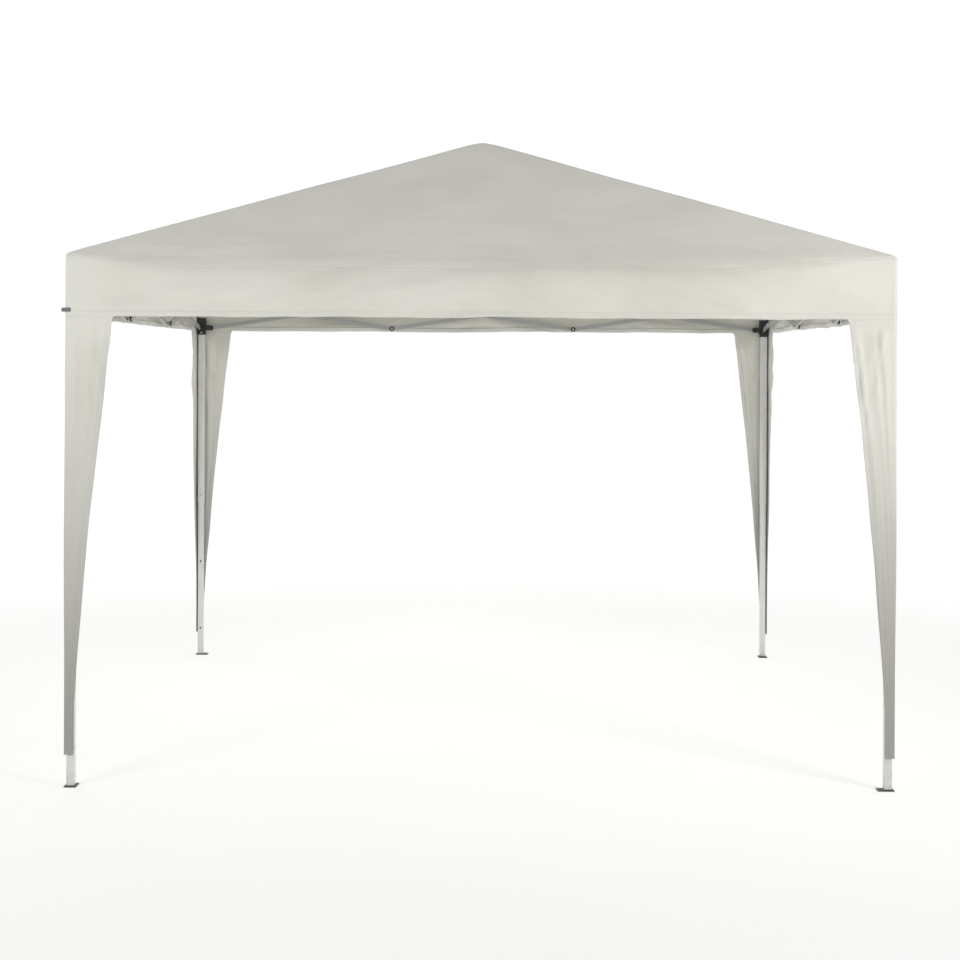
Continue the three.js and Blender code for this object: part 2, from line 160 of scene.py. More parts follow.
def fabric_material():
    """Matt woven polyester: weave, soft crumples, stitched hems and seams, a little dust low down, and
    painted shade that darkens it towards the foot.
    """
    s = Shader("canopy_fabric", Sheen_Weight=0.12, Sheen_Roughness=0.6, Specular_IOR_Level=0.25)
    here = s.place((1, 1, 1))
    weave = s.node("ShaderNodeSeparateXYZ", {"Vector": s.node("ShaderNodeUVMap", uv_map="Weave").outputs[0]})
    u, v = weave.outputs[0], weave.outputs[1]
    edges = s.node("ShaderNodeSeparateXYZ", {"Vector": s.node("ShaderNodeUVMap", uv_map="Edges").outputs[0]})
    hem, seam = edges.outputs[0], edges.outputs[1]

    # over and under threads
    thread = 2 * math.pi / THREAD
    warp = s.math("SINE", s.math("MULTIPLY", u, thread))
    weft = s.math("SINE", s.math("MULTIPLY", v, thread))
    cloth = s.math("MULTIPLY", warp, weft)
    slub = s.noise(s.place((60, 60, 900)), 1.0, 2.0)

    broad = s.noise(here, 2.2, 4.0, 0.55)
    crumple = s.noise(s.place((9, 9, 16)), 1.0, 5.0, 0.6)
    fold_lines = s.node(
        "ShaderNodeTexVoronoi",
        {"Vector": s.place((5, 5, 7), (0.3, 0.5, 0.2)), "Scale": 1.0},
        feature="DISTANCE_TO_EDGE",
    ).outputs["Distance"]
    crease = s.ramp(fold_lines, 0.0, 0.035, 1.0, 0.0)

    # a line of stitches inside each hem, and two beside each sewn seam
    along = s.math("MULTIPLY", s.math("ADD", u, v), 2 * math.pi / STITCH)
    dash = s.math("GREATER_THAN", s.math("SINE", along), -0.45)
    hem_row = s.ramp(s.math("ABSOLUTE", s.math("SUBTRACT", hem, HEM - 0.003)), 0.0, 0.0009, 1.0, 0.0)
    seam_row = s.ramp(s.math("ABSOLUTE", s.math("SUBTRACT", seam, 0.006)), 0.0, 0.0009, 1.0, 0.0)
    stitches = s.math("MULTIPLY", s.math("MAXIMUM", hem_row, seam_row), dash)
    double = s.math(
        "MAXIMUM", s.ramp(hem, HEM - 0.0005, HEM + 0.0005, 1.0, 0.0), s.ramp(seam, 0.009, 0.010, 1.0, 0.0)
    )

    tone = s.mix(s.ramp(broad, 0.3, 0.7), (0.640, 0.632, 0.575, 1), (0.700, 0.694, 0.640, 1))
    tone = s.mix(s.math("MULTIPLY", s.ramp(slub, 0.45, 0.8), 0.10), tone, (0.52, 0.515, 0.47, 1))
    tone = s.mix(s.math("MULTIPLY", double, 0.06), tone, (0.56, 0.555, 0.51, 1))
    height = s.node("ShaderNodeSeparateXYZ", {"Vector": here}).outputs[2]
    # dust patches, thickest low down, which also darken the cloth towards the foot as painted shade
    dusty = s.ramp(s.noise(here, 14.0, 6.0, 0.65), 0.35, 0.8)
    dust_and_painted_shade = s.math("MULTIPLY", s.ramp(height, 0.1, 0.75, 1.0, 0.0), dusty)
    tone = s.mix(s.math("MULTIPLY", dust_and_painted_shade, 0.35), tone, (0.36, 0.33, 0.27, 1))
    # painted shade: the cloth's colour goes greyer and darker towards the foot
    tone = s.mix(s.ramp(height, 0.12, 1.6, 0.80, 0.0), tone, (0.30, 0.297, 0.275, 1))
    tone = s.mix(s.math("MULTIPLY", stitches, 0.35), tone, (0.78, 0.775, 0.74, 1))

    n = s.bump(crumple, 0.006, 0.35)
    n = s.bump(crease, 0.0012, 0.25, n)
    n = s.bump(double, 0.0007, 1.0, n)
    n = s.bump(cloth, 0.00012, 0.5, n)
    n = s.bump(stitches, 0.0006, 0.8, n)
    rough = s.ramp(broad, 0.2, 0.8, 0.74, 0.86)
    return s.finish(Base_Color=tone, Roughness=rough, Normal=n)


def paint_material(name, pale=1.0, foot_zone=False):
    """White powder coat: orange peel, faint chalking, scuffs. A pale below 1 darkens the whole coat as
    painted shade. A lower leg's foot plate is bare dark steel.
    """
    s = Shader(name, IOR=1.5, Coat_Weight=0.1, Coat_Roughness=0.3)
    here = s.place((1, 1, 1))
    peel = s.noise(here, 900.0, 2.0, 0.5)
    broad = s.noise(here, 7.0, 4.0, 0.6)
    scuff = s.ramp(s.noise(s.place((40, 40, 400), (0.2, 0.1, 0.4)), 1.0, 6.0, 0.7), 0.66, 0.74)
    speck = s.ramp(s.noise(here, 160.0, 3.0, 0.6), 0.70, 0.76)
    low, high = (0.70 * pale, 0.70 * pale, 0.69 * pale, 1), (0.77 * pale, 0.77 * pale, 0.765 * pale, 1)
    tone = s.mix(s.ramp(broad, 0.3, 0.75), low, high)
    tone = s.mix(s.math("MULTIPLY", scuff, 0.45), tone, (0.40, 0.40, 0.39, 1))
    tone = s.mix(s.math("MULTIPLY", speck, 0.30), tone, (0.34, 0.32, 0.30, 1))
    rough = s.math("ADD", s.ramp(broad, 0.2, 0.8, 0.30, 0.42), s.math("MULTIPLY", scuff, 0.2))
    if foot_zone:
        height = s.node("ShaderNodeSeparateXYZ", {"Vector": here}).outputs[2]
        plate = s.ramp(height, 0.0046, 0.0062, 1.0, 0.0)
        dirty = s.ramp(s.noise(here, 60.0, 6.0, 0.7), 0.4, 0.75)
        grime = s.math("MULTIPLY", s.ramp(height, 0.0, 0.16, 1.0, 0.0), dirty)
        tone = s.mix(s.math("MULTIPLY", grime, 0.4), tone, (0.30, 0.27, 0.23, 1))
        worn = s.ramp(s.noise(here, 220.0, 5.0, 0.65), 0.35, 0.7)
        steel = s.mix(worn, (0.030, 0.030, 0.031, 1), (0.085, 0.080, 0.076, 1))
        tone = s.mix(plate, tone, steel)
        rough = s.math("ADD", rough, s.math("MULTIPLY", plate, 0.15))
    return s.finish(Base_Color=tone, Roughness=rough, Normal=s.bump(peel, 0.00012, 0.6))


def nylon_material():
    """Moulded black nylon: fine spark-eroded grain, greyed scuffs."""
    s = Shader("black_nylon", IOR=1.53)
    here = s.place((1, 1, 1))
    grain = s.noise(here, 1500.0, 3.0, 0.6)
    broad = s.noise(here, 30.0, 4.0, 0.6)
    rub = s.ramp(s.noise(s.place((90, 90, 500), (0.5, 0.2, 0.1)), 1.0, 5.0, 0.65), 0.60, 0.72)
    tone = s.mix(s.ramp(broad, 0.3, 0.7), (0.014, 0.014, 0.016, 1), (0.028, 0.028, 0.030, 1))
    tone = s.mix(s.math("MULTIPLY", rub, 0.35), tone, (0.10, 0.10, 0.10, 1))
    rough = s.ramp(broad, 0.2, 0.8, 0.42, 0.58)
    return s.finish(Base_Color=tone, Roughness=rough, Normal=s.bump(grain, 0.00010, 0.6))


def zinc_material():
    """Zinc plated steel: cloudy passivation and fine drawn lines."""
    s = Shader("zinc_plated_steel", Metallic=1.0)
    here = s.place((1, 1, 1))
    cloud = s.noise(here, 120.0, 4.0, 0.6)
    lines = s.noise(s.place((300, 300, 3000)), 1.0, 3.0, 0.5)
    tone = s.mix(s.ramp(cloud, 0.3, 0.7), (0.46, 0.47, 0.48, 1), (0.66, 0.66, 0.64, 1))
    rough = s.ramp(cloud, 0.2, 0.8, 0.28, 0.46)
    return s.finish(Base_Color=tone, Roughness=rough, Normal=s.bump(lines, 0.00006, 0.5))


def webbing_material():
    """Dark grey ribbed webbing."""
    s = Shader("grey_webbing", Sheen_Weight=0.2, Specular_IOR_Level=0.3)
    height = s.node("ShaderNodeSeparateXYZ", {"Vector": s.place((1, 1, 1))}).outputs[2]
    rib = s.math("SINE", s.math("MULTIPLY", height, 2 * math.pi / RIB))
    fuzz = s.noise(s.place((1, 1, 1)), 700.0, 4.0, 0.6)
    tone = s.mix(s.ramp(fuzz, 0.3, 0.7), (0.150, 0.151, 0.155, 1), (0.230, 0.230, 0.235, 1))
    n = s.bump(fuzz, 0.0002, 0.6, s.bump(rib, 0.0003, 0.8))
    return s.finish(Base_Color=tone, Roughness=s.ramp(fuzz, 0.2, 0.8, 0.7, 0.9), Normal=n)


FABRIC = fabric_material()
PAINT = paint_material("white_powder_coat")
LEG_PAINT = paint_material("white_powder_coat_leg", foot_zone=True)
# the truss bars' and roof arms' white powder coat, darkened to 0.46: painted shade, as under the roof
SHADED_BAR_PAINT = paint_material("white_powder_coat_bars_shaded", pale=0.46)
NYLON, ZINC, WEBBING = nylon_material(), zinc_material(), webbing_material()
BY_SLOT = {
    "white_powder_coat": PAINT,
    "black_nylon": NYLON,
    "zinc_plated_steel": ZINC,
    "canopy_fabric": FABRIC,
}


# ---------------------------------------------------------------- the frame's finish
def clear_own_normals(mesh):
    """So that the bevel's normals count and not the imported flat ones."""
    own = mesh.attributes.get("custom_normal")
    if own:
        mesh.attributes.remove(own)


def own_paint(name):
    """A lower leg's paint has its foot, and the bars' is a darker copy of the white powder coat, painted
    shade. Anything else follows its slot.
    """
    if name.startswith("lower_leg"):
        return LEG_PAINT
    return SHADED_BAR_PAINT if name.startswith(("truss", "roof_arm")) else None


def dress_frame():
    """Every CAD node gets its finish, soft edges and smooth round faces."""
    slots = {p["node"]: p["material_slot"] for p in frame["record"]["subparts"]}
    for name, o in frame["nodes"].items():
        o.data.materials.clear()
        o.data.materials.append(own_paint(name) or BY_SLOT[slots[name]])
        clear_own_normals(o.data)
        o.data.polygons.foreach_set("use_smooth", [True] * len(o.data.polygons))
        weld = o.modifiers.new("Weld", "WELD")
        weld.merge_threshold = 0.00002
        bevel = o.modifiers.new("Edges", "BEVEL")
        bevel.width, bevel.segments = 0.0008, 2
        bevel.limit_method, bevel.angle_limit = "ANGLE", math.radians(35)
        bevel.harden_normals = True


# ---------------------------------------------------------------- the canopy's shape
def eave_plan(side, a, reach=HALF, r=CORNER_R):
    """(x, y) on the canopy's outline at a along a side, its corner rounded, and the way out there."""
    u, o = SIDES[side]
    away = reach - abs(a)
    if away >= r:
        along, out, turn = a, reach, 0.0
    else:
        turn = math.pi / 4 * (1 - away / r)
        along = math.copysign(reach - r + r * math.sin(turn), a)
        out = reach - r + r * math.cos(turn)
    s, c = math.copysign(math.sin(turn), a), math.cos(turn)
    place = (u[0] * along + o[0] * out, u[1] * along + o[1] * out)
    return place, (u[0] * s + o[0] * c, u[1] * s + o[1] * c)


def ridge(t):
    """Height of the hip at t, from 0 at the peak to 1 at the eave, flat and round at the top."""
    return RIDGE_START - RIDGE_FALL * (t**2.6 + PEAK_SOFT**2.6) ** (1 / 2.6)


def drape_width(z):
    """How wide a drape is on each side of its corner, at this height."""
    share = max(0.0, (z - DRAPE_NARROW_Z) / (VALANCE_Z - DRAPE_NARROW_Z))
    flare = DRAPE_FLARE * max(0.0, (z - VALANCE_Z + FLARE_HEIGHT) / FLARE_HEIGHT) ** 2
    return DRAPE_END + (DRAPE_TOP - DRAPE_END) * share**1.2 + flare


DRAPE_COLUMNS = 24
TOP_WIDTH = DRAPE_TOP + DRAPE_FLARE


def column_places():
    """Along one side, from corner to corner: close together at the drapes and the corners."""
    half = [0.0]
    for end, count in ((0.5, 22), (1.0, 22), (HALF - TOP_WIDTH, 14)):
        start = half[-1]
        half += [start + (end - start) * (i + 1) / count for i in range(count)]
    half += [HALF - TOP_WIDTH * (1 - (i + 1) / DRAPE_COLUMNS) ** 1.3 for i in range(DRAPE_COLUMNS)]
    return [-a for a in half[:0:-1]] + half


ACROSS = column_places()
PER_SIDE = len(ACROSS) - 1
RING = 4 * PER_SIDE
ROOF_ROWS, EDGE_ROWS, VALANCE_ROWS, DRAPE_ROWS = 48, 8, 12, 92
PATCH_ROW = 2  # the roof's rows inside the patch over the peak cap


def mid_share(a):
    """0 at a corner, 1 over the middle of a side."""
    return step((HALF - abs(a)) / (0.45 if a < 0 else 0.62))


def edge_soft(a):
    """How far the turn over the eave reaches down, at a along a side."""
    return EDGE_SOFT_CORNER + (EDGE_SOFT_MIDDLE - EDGE_SOFT_CORNER) * mid_share(a)


def side_hem(width):
    """How much cloth is turned in along a drape's free edge, where it is this wide."""
    return min(SIDE_HEM, width * 0.35)


def cut_area(depth, start, end, strips=400):
    """The flat area in square metres of cloth cut depth(x) deep at x, before it wrinkles."""
    each = (end - start) / strips
    return sum(depth(start + (i + 0.5) * each) for i in range(strips)) * each


def column_line(side, a):
    """One line of the canopy, from near the peak over the eave to the valance's hem, without its wrinkles."""
    u, o = SIDES[side]
    c, mid = a / HALF, mid_share(a)
    (ex, ey), (nx, ny) = eave_plan(side, a)
    square = (u[0] * a + o[0] * HALF, u[1] * a + o[1] * HALF)
    drop = EAVE_DROP * mid - 0.004 * math.exp(-(((abs(a) - 0.476) / 0.12) ** 2))
    bulge = EAVE_BULGE * mid
    ridge_eave = ridge(1.0)

    def roof(t):
        near = step((t - 0.88) / 0.12)
        x = square[0] * t + (ex - square[0] + nx * bulge) * near
        y = square[1] * t + (ey - square[1] + ny * bulge) * near
        sag = drop * t**1.4 + 0.020 * (1 - c * c) * math.sin(math.pi * t**1.1) * t**0.5
        return Vector((x, y, ridge(t) - sag))

    soft = edge_soft(a)
    start = 1 - soft * 0.93 / HALF
    crease = Vector((ex + nx * bulge, ey + ny * bulge, ridge_eave - drop))
    line = [roof(0.006 + (start - 0.006) * (i / (ROOF_ROWS - 1)) ** 0.9) for i in range(ROOF_ROWS)]
    a0, a2 = line[-1], crease - Vector((0, 0, soft))
    for i in range(1, EDGE_ROWS + 1):
        w = i / EDGE_ROWS
        line.append(a0 * (1 - w) ** 2 + crease * 2 * w * (1 - w) + a2 * w * w)
    for i in range(1, VALANCE_ROWS + 1):
        w = i / VALANCE_ROWS
        hang = bulge * (1 - 0.75 * step(w))
        line.append(Vector((ex + nx * hang, ey + ny * hang, a2.z + (VALANCE_Z - a2.z) * w)))
    return line


CREASE_ROW = ROOF_ROWS - 1 + EDGE_ROWS // 2
ROWS = ROOF_ROWS + EDGE_ROWS + VALANCE_ROWS


def wave(x, y, seed):
    return noise.noise(Vector((x, y, seed)))


def wrinkle(side, a, up, t):
    """How far the cloth stands out, in metres.

    up is the way along the cloth from the hem, t the share from peak to eave."""
    seed = {"front": 1.7, "right": 9.1, "back": 17.3, "left": 25.9}[side]
    clear = step((HALF - abs(a)) / 0.22)
    hang = 1 - step((up - 0.25) / 0.55)  # most of it is low, on the valance and the roof's edge
    tilt = 0.16 if a < 0 else -0.16
    x, y = a + up * tilt, up - a * tilt
    long = wave(x * 1.5, y * 11, seed) + 0.55 * wave(x * 3.4, y * 22, seed + 3)
    long = long + 0.30 * wave(x * 9, y * 38, seed + 5)
    hanging = wave(a * 4.2, up * 1.6, seed + 7) * (1 - step(up / 0.22))
    low = hang * clear * (0.0150 * (long + 0.16) + 0.0060 * (hanging + 0.2))
    corner = (1 - clear) * hang * 0.0016 * (0.5 + wave(a * 30, up * 8, seed + 11))
    px, py = a * t, HALF * t
    broad = 0.007 * wave(px * 1.1, py * 1.3, seed + 13) * math.sin(math.pi * min(1.0, t))
    reach = math.hypot(HALF - abs(a) * t, HALF * (1 - t)) + 0.05
    bearing = math.atan2(HALF * (1 - t), HALF - abs(a) * t + 0.001)
    pull = 0.0060 * wave(bearing * 9, reach * 0.8, seed + 17 + (4 if a < 0 else 0))
    pull = pull * step(t) * step((1.2 - reach) / 0.9)
    return low + corner + broad + pull * (1 - abs(a) / HALF * 0.6)


def grid_normals(points):
    """Unit normals of the ring of columns, outwards."""
    down = np.gradient(points, axis=0)
    across = (np.roll(points, -1, axis=1) - np.roll(points, 1, axis=1)) / 2
    n = np.cross(down, across)
    return n / np.linalg.norm(n, axis=2, keepdims=True)


class Cloth:
    """The whole canopy's points and faces, each face with the piece it belongs to."""

    def __init__(self):
        self.points, self.weave, self.edges, self.faces, self.owner = [], [], [], [], []

    def add(self, point, weave, edges):
        self.points.append(tuple(point))
        self.weave.append(weave)
        self.edges.append(edges)
        return len(self.points) - 1

    def quads(self, block, owner):
        """block: rows of indices. Faces look towards the rows' direction crossed with the columns'."""
        for r in range(len(block) - 1):
            for k in range(len(block[0]) - 1):
                self.faces.append((block[r][k], block[r + 1][k], block[r + 1][k + 1], block[r][k + 1]))
                self.owner.append(owner(k) if callable(owner) else owner)


def column(k):
    """(side, a) of ring column k."""
    k %= RING
    return list(SIDES)[k // PER_SIDE], ACROSS[k % PER_SIDE]


def gore_of(k):
    """The roof gore that holds the faces right after ring column k."""
    side, a = column(k)
    middle = a + 1e-6
    bounds = [-HALF, -1.0, -0.5, 0.0, 0.5, 1.0, HALF]
    return f"canopy_roof_{side}_{sum(middle > b for b in bounds)}"


def make_cloth():
    cloth = Cloth()
    base = np.array([[tuple(p) for p in column_line(*column(k))] for k in range(RING)]).transpose(1, 0, 2)
    steps = np.linalg.norm(np.diff(base, axis=0), axis=2)
    up = np.vstack([np.cumsum(steps[::-1], axis=0)[::-1], np.zeros((1, RING))])
    normal = grid_normals(base)
    out = np.zeros((ROWS, RING))
    for k in range(RING):
        side, a = column(k)
        o = SIDES[side][1]
        for r in range(ROWS):
            t = min(1.0, (base[r, k, 0] * o[0] + base[r, k, 1] * o[1]) / HALF)
            out[r, k] = wrinkle(side, a, up[r, k], t)
    # the corner columns take the mean of their two sides, so that the cloth stays whole
    for corner in range(4):
        k = corner * PER_SIDE
        out[:, k] = (out[:, k - 1] + out[:, (k + 1) % RING]) / 2
    points = base + normal * out[:, :, None]
    for k in range(RING):
        side, a = column(k)
        loose = step((HALF - abs(a) - 0.2) / 0.15)
        seed = 90 + list(SIDES).index(side) * 7
        ripple = loose * (0.0050 * wave(a * 3.1, 0.3, seed) + 0.0028 * wave(a * 9, 0.7, seed))
        points[-1, k, 2] = base[-1, k, 2] + ripple
        points[-2, k, 2] += 0.6 * ripple

    peak = cloth.add((0, 0, float(points[0, :, 2].mean()) + 0.0003), (0, 1.9), (1, 0))
    index = np.zeros((ROWS, RING), int)
    for r in range(ROWS):
        for k in range(RING):
            side, a = column(k)
            u, o = SIDES[side]
            x, y = points[r, k, 0], points[r, k, 1]
            along, reach = x * u[0] + y * u[1], x * o[0] + y * o[1]
            hip = max(0.0, reach - abs(along)) / math.sqrt(2)
            eave = abs(up[r, k] - up[CREASE_ROW, k])
            seam = min(hip, eave) if r <= CREASE_ROW else eave
            across = along + 3.1 * list(SIDES).index(side)
            index[r, k] = cloth.add(points[r, k], (across, up[r, k]), (up[r, k], seam))

    def ring(r, k):
        return int(index[r, k % RING])

    for k in range(RING):
        cloth.faces.append((peak, ring(0, k), ring(0, k + 1)))
        cloth.owner.append("canopy_peak_patch")
    roof_rows = ROOF_ROWS + EDGE_ROWS
    cloth.quads([[ring(r, k) for k in range(RING + 1)] for r in range(PATCH_ROW + 1)], "canopy_peak_patch")
    cloth.quads([[ring(r, k) for k in range(RING + 1)] for r in range(PATCH_ROW, roof_rows)], gore_of)
    for s, side in enumerate(SIDES):
        columns = range(s * PER_SIDE, (s + 1) * PER_SIDE + 1)
        hanging = [[ring(r, k) for k in columns] for r in range(roof_rows - 1, ROWS)]
        cloth.quads(hanging, f"canopy_valance_{side}")
        # the valance's hem, turned up inside between the drapes
        inner = [k for k in columns if DRAPE_COLUMNS <= k - s * PER_SIDE <= PER_SIDE - DRAPE_COLUMNS]
        o = np.array((*SIDES[side][1], 0.0))
        rows = [[ring(ROWS - 1, k) for k in inner]]
        for inward, lift in ((0.0011, -0.0008), (0.0024, 0.0004), (0.0026, HEM * 0.5), (0.0026, HEM)):
            row = []
            for k in inner:
                above = points[ROWS - 1, k % RING]
                higher = points[ROWS - 3, k % RING] - above
                lean = higher / max(higher[2], 1e-6) * max(lift, 0.0)
                place = above + lean * (1, 1, 0) - o * inward + (0, 0, lift)
                across = cloth.weave[ring(0, k)][0] + ACROSS[k - s * PER_SIDE]
                row.append(cloth.add(place, (across, lift), (max(lift, 0.0), 1)))
            rows.append(row)
        cloth.quads(rows, f"canopy_valance_{side}")
    for corner, name in enumerate(CORNERS):
        make_drape(cloth, name, corner, points, index)
    return cloth


def drape_fold(corner, side_sign, q, z):
    """How far a drape's cloth stands out: diagonal pulls near its top, and long folds down it.

    q is 0 at the corner and 1 at the free edge."""
    share = (z - DRAPE_Z) / (VALANCE_Z - DRAPE_Z)
    seed = 40 + corner * 11 + side_sign * 3
    far = q * drape_width(z)
    free = step(far / 0.06)
    top = step((share - 0.62) / 0.3) * (1 - step((share - 0.975) / 0.025) * 0.85)
    diagonal = wave(q * 3.4 + share * 13, q * 1.8 - share * 7, seed) * 0.0110 * top
    diagonal += wave(q * 8 + share * 30, q * 4 - share * 14, seed + 2) * 0.0050 * top
    long = wave(q * 6.5 + 0.5 * math.sin(share * 5 + seed), share * 1.8, seed + 5)
    fine = wave(q * 9, share * 3.5, seed + 8) * 0.0030
    depth = (0.0030 + 0.0085 * step(share / 0.8)) * (1 - step((share - 0.93) / 0.07) * 0.8)
    out = free * (diagonal + long * depth + fine + 0.0015) + 0.0006 * (1 - free)
    # it stays clear of what slides down the leg behind it, and of the folded bars
    least, soft = -0.0002 - 0.0045 * step((far - 0.085) / 0.04), 0.0010
    return least + soft * math.log1p(math.exp(min(40.0, (out - least) / soft)))


def turned_in(depth):
    """How a drape's hem turns: (inwards, back from the edge) for each of its lines."""
    return (0.0006, -0.0006), (0.0012, 0.0004), (0.0014, depth)


def make_drape(cloth, name, corner, points, index):
    """An L of cloth down one leg, from the valance's hem line."""
    middle = (corner + 1) * PER_SIDE
    columns = [(middle + i) % RING for i in range(-DRAPE_COLUMNS, DRAPE_COLUMNS + 1)]
    zs = [VALANCE_Z - (VALANCE_Z - DRAPE_Z) * (i / DRAPE_ROWS) ** 1.12 for i in range(1, DRAPE_ROWS + 1)]
    top = points[-1][columns]
    names = list(SIDES)
    block = [[int(index[-1, k]) for k in columns]]
    table = []
    for i, z in enumerate(zs):
        row, places = [], []
        width = drape_width(z)
        fade = 1 - step((VALANCE_Z - z) / 0.10)
        for j, k in enumerate(columns):
            sign = -1 if j < DRAPE_COLUMNS else 1
            side = names[corner] if sign < 0 else names[(corner + 1) % 4]
            q = ((abs(j - DRAPE_COLUMNS)) / DRAPE_COLUMNS) ** 1.3
            lower = step((1.3 - z) / 0.4)
            reach = HALF - HUG * step((0.86 - z) / 0.45)
            a = -sign * (reach - q * width)
            (x, y), (nx, ny) = eave_plan(side, a, reach, CORNER_R * (1 - 0.75 * lower))
            share = (z - DRAPE_Z) / (VALANCE_Z - DRAPE_Z)
            plain = np.array(eave_plan(side, -sign * (HALF - q * TOP_WIDTH))[0])
            valance = float((top[j][:2] - plain) @ np.array((nx, ny)))
            away = drape_fold(corner, sign, q, z) * (1 - fade) + fade * valance
            # the free edge wanders a little, and the end isn't cut dead level
            drift = 0.004 * q * wave(share * 7, corner + sign * 0.3, 71) * (1 - fade)
            ux, uy = SIDES[side][0]
            low = 0.004 * wave(q * 2, corner * 1.7 + sign, 77) * (i / len(zs)) ** 8
            place = np.array(
                (x + nx * away + ux * drift * -sign, y + ny * away + uy * drift * -sign, z + low)
            )
            places.append((place, np.array((nx, ny, 0.0)), np.array((ux, uy, 0.0)) * sign, width))
            edge = min((1 - q) * width, z - DRAPE_Z)
            row.append(cloth.add(place, (-sign * q * width + 40 + corner, z), (edge, 1.0)))
        block.append(row)
        table.append(places)
    cloth.quads(block, f"canopy_drape_{name}")

    # the hems down both free edges, turned in
    for j in (0, len(columns) - 1):
        strip = []
        for row, places in zip(block[1:], table):
            place, n, inward_edge, width = places[j]
            back = -inward_edge  # from the free edge towards the corner
            line = [row[j]]
            for inward, along in turned_in(side_hem(width)):
                point = place - n * inward + back * along
                line.append(cloth.add(point, (along, place[2]), (max(along, 0), 1.0)))
            strip.append(line if j else line[::-1])
        cloth.quads(strip, f"canopy_drape_{name}")
    # and the end
    line = [block[-1]]
    for inward, lift in turned_in(END_HEM):
        row = []
        for p, n, _, _ in table[-1]:
            row.append(cloth.add(p - n * inward + (0, 0, lift), (0, lift), (max(lift, 0), 1.0)))
        line.append(row)
    cloth.quads(line, f"canopy_drape_{name}")


def cloth_pieces(cloth):
    """One mesh for each piece, with the whole canopy's normals, so that no join shows."""
    points, weave, edges = (np.array(x, float) for x in (cloth.points, cloth.weave, cloth.edges))
    whole = bpy.data.meshes.new("whole_canopy")
    whole.from_pydata(points.tolist(), [], cloth.faces)
    whole.update()
    normals = np.zeros(len(points) * 3)
    whole.vertices.foreach_get("normal", normals)
    normals = normals.reshape(-1, 3)
    bpy.data.meshes.remove(whole)
    owners = {}
    for face, owner in zip(cloth.faces, cloth.owner):
        owners.setdefault(owner, []).append(face)
    made = {}
    for name, faces in owners.items():
        used = sorted({i for f in faces for i in f})
        local = {g: i for i, g in enumerate(used)}
        mesh = bpy.data.meshes.new(name)
        mesh.from_pydata(points[used].tolist(), [], [tuple(local[i] for i in f) for f in faces])
        mesh.update()
        corners = np.zeros(len(mesh.loops), int)
        mesh.loops.foreach_get("vertex_index", corners)
        for layer, values in (("Weave", weave), ("Edges", edges)):
            uv = mesh.uv_layers.new(name=layer)
            uv.data.foreach_set("uv", values[used][corners].astype(np.float32).ravel())
        mesh.polygons.foreach_set("use_smooth", [True] * len(mesh.polygons))
        mesh.normals_split_custom_set_from_vertices(normals[used].tolist())
        mesh.materials.append(FABRIC)
        o = bpy.data.objects.new(name, mesh)
        bpy.context.scene.collection.objects.link(o)
        made[name] = o
    return made


VALANCE_BODY = {
    "front": "leg_front_left",
    "left": "leg_front_left",
    "right": "leg_front_right",
    "back": "leg_back_left",
}


def valance_cut(a):
    """How deep a valance is cut at a along its side, without its hem."""
    return EAVE_Z - EAVE_DROP * mid_share(a) - edge_soft(a) - VALANCE_Z


def drape_cut(z):
    """How wide a drape is cut on each side of its corner, with its hem."""
    return drape_width(z) + side_hem(drape_width(z))


def hang_canopy():
    """Each piece rides on its body, and its flat size is worked out but not kept."""
    pieces = cloth_pieces(make_cloth())
    for name, o in sorted(pieces.items()):
        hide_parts("canopy")
        _, kind, where = name.split("_", 2)
        if kind == "peak":
            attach(o, "hub")
        elif kind == "roof":
            side, number = where.rsplit("_", 1)
            a = -1.75 + 0.5 * int(number)
            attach(o, "hub")
            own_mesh(o)
            # every gore has the same base and height, and a strip that turns down over the eave
            triangle = 0.5 * math.hypot(HALF, PEAK_Z - EAVE_Z) / 2
            area = triangle + cut_area(edge_soft, a - 0.25, a + 0.25)
        elif kind == "valance":
            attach(o, VALANCE_BODY[where])
            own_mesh(o)
            area = cut_area(valance_cut, -HALF, HALF) + HEM * 2 * (HALF - TOP_WIDTH)
        else:
            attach(o, "leg_" + where)
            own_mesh(o)
            area = 2 * cut_area(drape_cut, DRAPE_Z, VALANCE_Z) + 2 * DRAPE_END * END_HEM
    return pieces


# ---------------------------------------------------------------- small pieces
def new_piece(name, points, faces, materials, body, picks=None):
    mesh = bpy.data.meshes.new(name)
    mesh.from_pydata([tuple(p) for p in points], [], faces)
    mesh.update()
    for m in materials:
        mesh.materials.append(m)
    if picks:
        mesh.polygons.foreach_set("material_index", picks)
    mesh.polygons.foreach_set("use_smooth", [True] * len(mesh.polygons))
    mesh.set_sharp_from_angle(angle=math.radians(40))
    o = bpy.data.objects.new(name, mesh)
    bpy.context.scene.collection.objects.link(o)
    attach(o, body)
    return o


def turned(profile, at, axis, side, around=28):
    """A turned shape's points and faces: profile is (radius, height) from the rim to the middle, on axis."""
    axis, side = Vector(axis), Vector(side)
    third = axis.cross(side)
    points, faces = [], []
    for radius, high in profile:
        for i in range(around):
            w = 2 * math.pi * i / around
            ring = side * (radius * math.cos(w)) + third * (radius * math.sin(w))
            points.append(Vector(at) + axis * high + ring)
    for r in range(len(profile) - 1):
        for i in range(around):
            k = (i + 1) % around
            faces.append((r * around + i, r * around + k, (r + 1) * around + k, (r + 1) * around + i))
    faces.append(tuple((len(profile) - 1) * around + i for i in range(around)))
    faces.append(tuple(range(around))[::-1])
    return points, faces


# (radius, height) from the rim to the middle
CAP = [
    (0.0125, 0.0),
    (0.0125, 0.0012),
    (0.0121, 0.0018),
    (0.0112, 0.0022),
    (0.0072, 0.0022),
    (0.0066, 0.0017),
    (0.0052, 0.0017),
]
RIVET = [(0.0052, 0.0), (0.0051, 0.0009), (0.0044, 0.0017), (0.0030, 0.0023), (0.0012, 0.0026)]
FIRST, SPAN = 1.428, 0.952  # a truss's end from the middle, and from one of its nodes to the next
UPPER_Z, LOWER_Z = 1.860, 1.716  # its nodes


